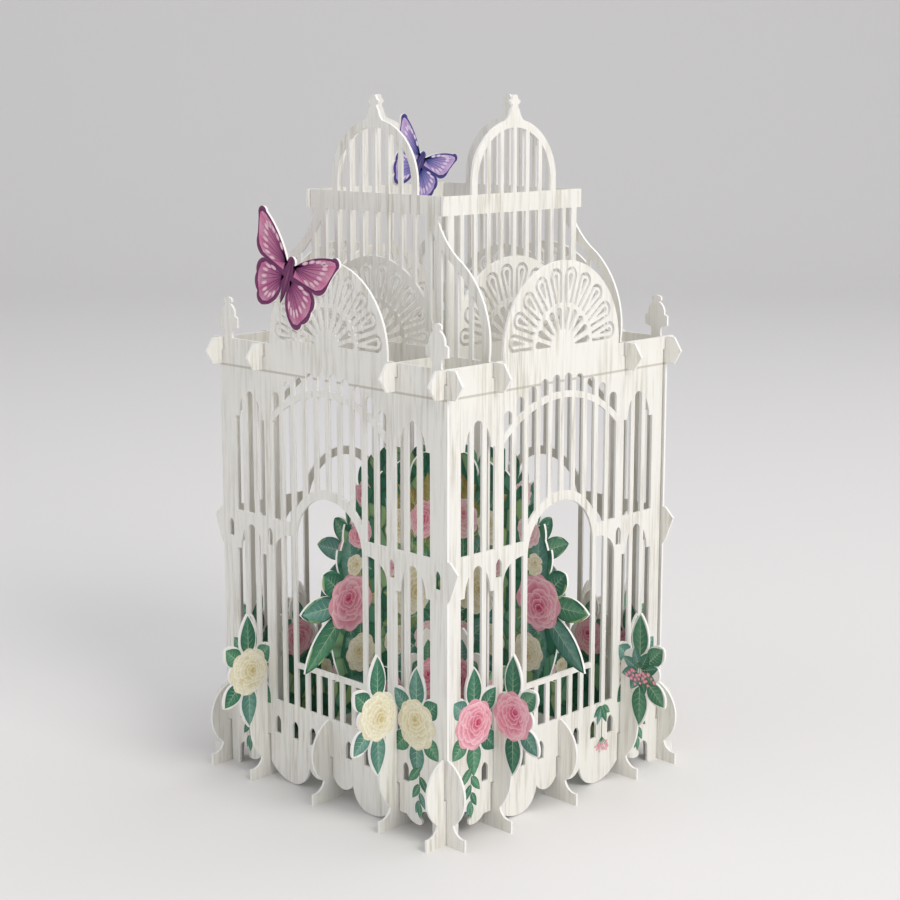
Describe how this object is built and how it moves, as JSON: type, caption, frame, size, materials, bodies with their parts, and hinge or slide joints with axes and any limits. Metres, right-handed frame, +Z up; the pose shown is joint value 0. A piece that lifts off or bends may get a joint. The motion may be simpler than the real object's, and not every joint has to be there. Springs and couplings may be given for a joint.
{
  "type": "card birdcage decoration",
  "caption": "Slot-together birdcage of die-cut printed card with pierced walls, domed belfry frames, flower sprays and stuck-on butterflies; it folds flat on its halved slots.",
  "frame": {"origin": "middle of the floor under the cage", "axes": "+Z up, the front wall faces -Y and the right wall faces +X"},
  "size_m": [0.1384, 0.1384, 0.2184],
  "materials": {
    "whitewashed_card": "matt printed card, white cut edges",
    "foliage_card": "matt printed card",
    "pink_card": "matt printed card",
    "blue_card": "matt printed card"
  },
  "bodies": {
    "front_wall": {"front_wall": "whitewashed_card", "pink_butterfly": "pink_card"},
    "front_tower_frame": {"front_tower_frame": "whitewashed_card"},
    "centre_bouquet_long": {"centre_bouquet_long": "foliage_card"},
    "back_tower_frame": {"back_tower_frame": "whitewashed_card"},
    "back_wall": {"back_wall": "whitewashed_card"},
    "left_wall": {"left_wall": "whitewashed_card"},
    "left_tower_frame": {"left_tower_frame": "whitewashed_card", "blue_butterfly": "blue_card"},
    "centre_bouquet_cross": {"centre_bouquet_cross": "foliage_card"},
    "right_tower_frame": {"right_tower_frame": "whitewashed_card"},
    "right_wall": {"right_wall": "whitewashed_card"}
  },
  "joints": [
    {"name": "fold", "type": "hinge", "parent": "front_wall", "child": "right_wall", "pos_m": [0.05, -0.05, 0], "axis": [0, 0, 1], "range_deg": [-40, 40]},
    {"name": "fold_left_wall", "type": "hinge", "parent": "front_wall", "child": "left_wall", "pos_m": [-0.05, -0.05, 0], "axis": [0, 0, 1], "range_deg": [-40, 40]},
    {"name": "fold_left_tower_frame", "type": "hinge", "parent": "front_wall", "child": "left_tower_frame", "pos_m": [-0.03, -0.05, 0], "axis": [0, 0, 1], "range_deg": [-40, 40]},
    {"name": "fold_centre_bouquet_cross", "type": "hinge", "parent": "front_wall", "child": "centre_bouquet_cross", "pos_m": [0, -0.05, 0], "axis": [0, 0, 1], "range_deg": [-40, 40]},
    {"name": "fold_right_tower_frame", "type": "hinge", "parent": "front_wall", "child": "right_tower_frame", "pos_m": [0.03, -0.05, 0], "axis": [0, 0, 1], "range_deg": [-40, 40]},
    {"name": "fold_front_tower_frame", "type": "hinge", "parent": "right_wall", "child": "front_tower_frame", "pos_m": [0.05, -0.03, 0], "axis": [0, 0, 1], "range_deg": [-40, 40]},
    {"name": "fold_centre_bouquet_long", "type": "hinge", "parent": "right_wall", "child": "centre_bouquet_long", "pos_m": [0.05, 0, 0], "axis": [0, 0, 1], "range_deg": [-40, 40]},
    {"name": "fold_back_tower_frame", "type": "hinge", "parent": "right_wall", "child": "back_tower_frame", "pos_m": [0.05, 0.03, 0], "axis": [0, 0, 1], "range_deg": [-40, 40]},
    {"name": "fold_back_wall", "type": "hinge", "parent": "right_wall", "child": "back_wall", "pos_m": [0.05, 0.05, 0], "axis": [0, 0, 1], "range_deg": [-40, 40]}
  ],
  "couplings": [
    {"joint": "fold_left_wall", "follows": "fold", "ratio": 1},
    {"joint": "fold_left_tower_frame", "follows": "fold", "ratio": 1},
    {"joint": "fold_centre_bouquet_cross", "follows": "fold", "ratio": 1},
    {"joint": "fold_right_tower_frame", "follows": "fold", "ratio": 1},
    {"joint": "fold_front_tower_frame", "follows": "fold", "ratio": -1},
    {"joint": "fold_centre_bouquet_long", "follows": "fold", "ratio": -1},
    {"joint": "fold_back_tower_frame", "follows": "fold", "ratio": -1},
    {"joint": "fold_back_wall", "follows": "fold", "ratio": -1}
  ]
}
